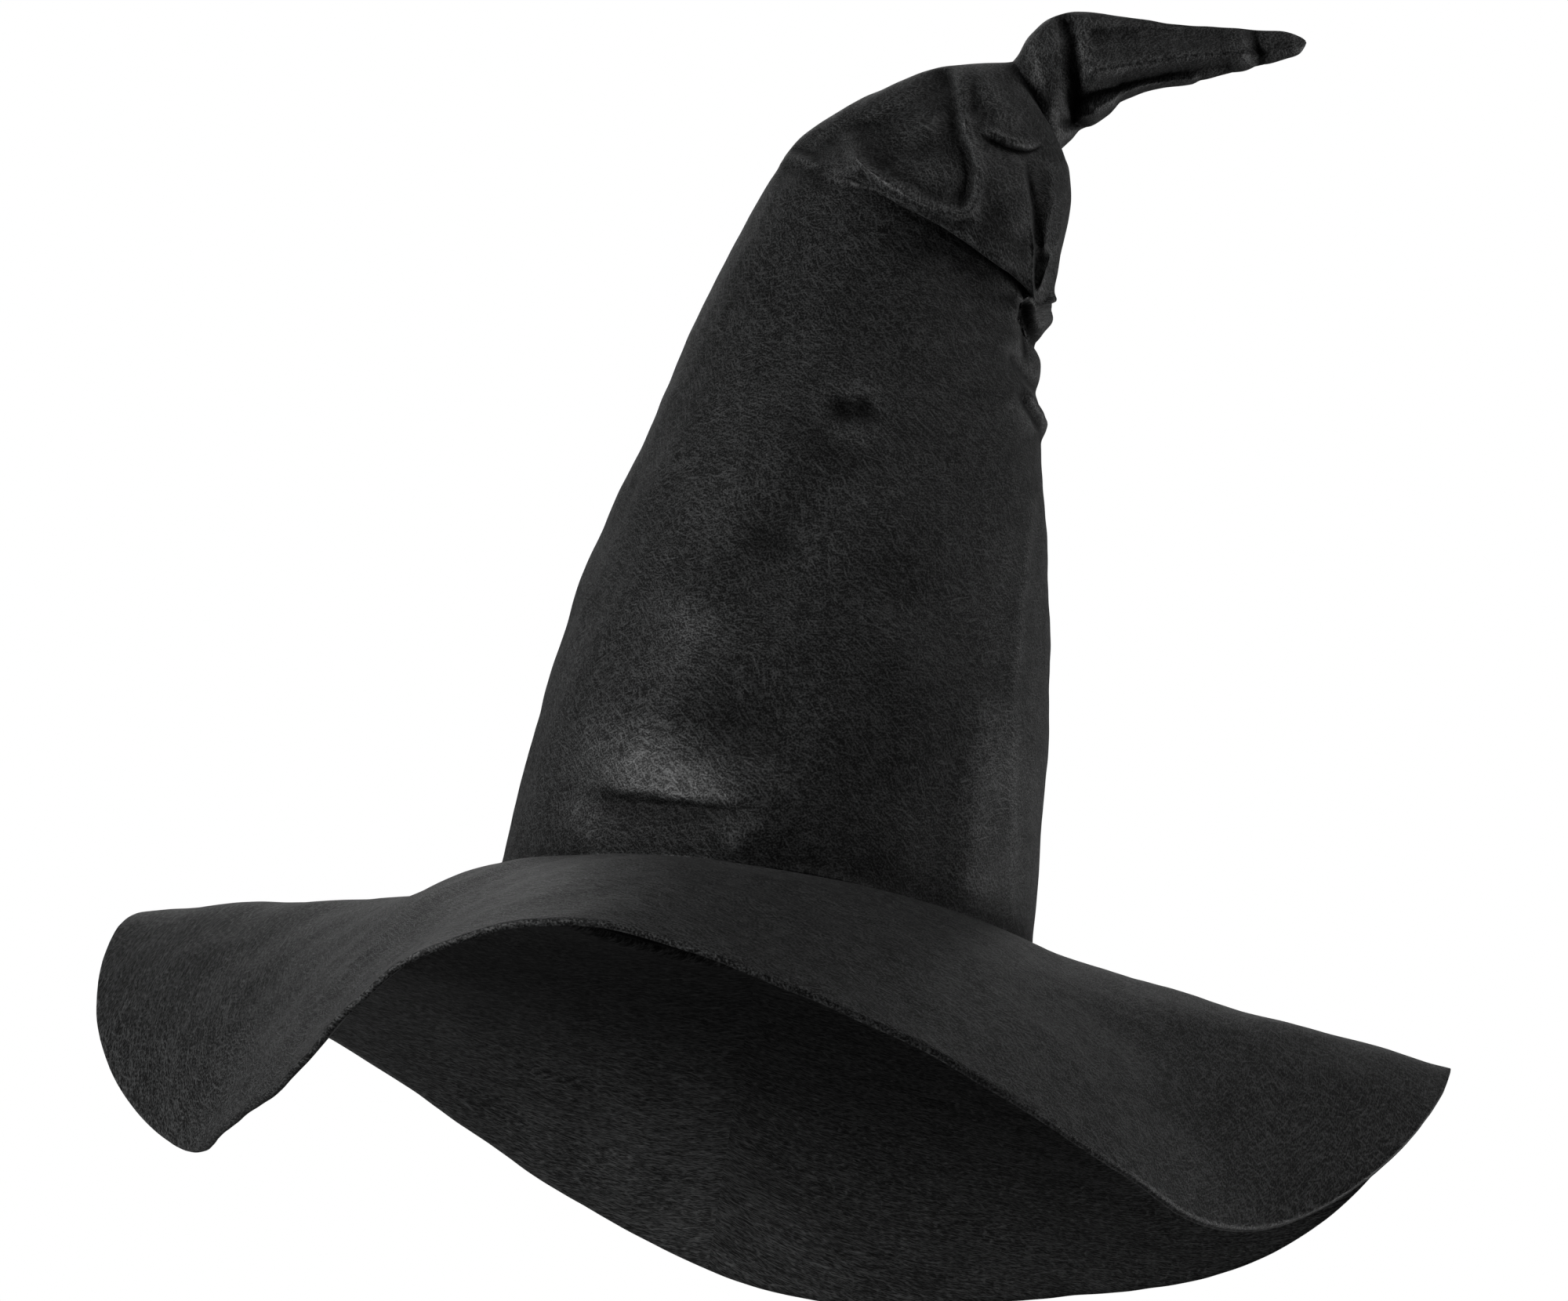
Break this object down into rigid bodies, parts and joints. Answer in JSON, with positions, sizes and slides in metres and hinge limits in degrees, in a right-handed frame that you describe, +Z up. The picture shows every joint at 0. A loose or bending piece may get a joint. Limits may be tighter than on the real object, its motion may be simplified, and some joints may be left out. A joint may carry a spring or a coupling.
{
  "type": "witch hat",
  "caption": "Crumpled black felt witch hat: wide drooping brim, tall cone crown that folds over twice to a sideways tip, worn on a head.",
  "frame": {"origin": "centre of the head opening, in the plane of the seam between crown and brim", "axes": "+Z up the crown, -Y to the wearer's front, +X to the side the folded tip points to"},
  "size_m": [0.4369, 0.4469, 0.4309],
  "materials": {
    "felt": "needle-punched felt with a visible nap, matt",
    "ribbon": "ribbed ribbon",
    "thread": "spun sewing thread",
    "elastic": "narrow knitted elastic tape",
    "label": "plain woven ribbon, blank"
  },
  "bodies": {
    "hat": {"brim": "felt", "crown_lower": "felt", "sweatband": "ribbon", "brim_seam_thread": "thread", "sweatband_thread": "thread", "side_seam_thread_lower": "thread", "gather_tape": "elastic", "care_label": "label"},
    "crown_flop": {"crown_upper": "felt", "side_seam_thread_upper": "thread"},
    "tip": {"crown_tip": "felt"}
  },
  "joints": [
    {"name": "crown_fold", "type": "hinge", "parent": "hat", "child": "crown_flop", "pos_m": [0.009, 0, 0.2205], "axis": [0, 1, 0], "range_deg": [-18, 20], "stiffness_Nm_per_rad": 0.5},
    {"name": "tip_bend", "type": "hinge", "parent": "crown_flop", "child": "tip", "pos_m": [0.0455, 0, 0.2835], "axis": [0, 1, 0], "range_deg": [-20, 20], "stiffness_Nm_per_rad": 0.15}
  ]
}
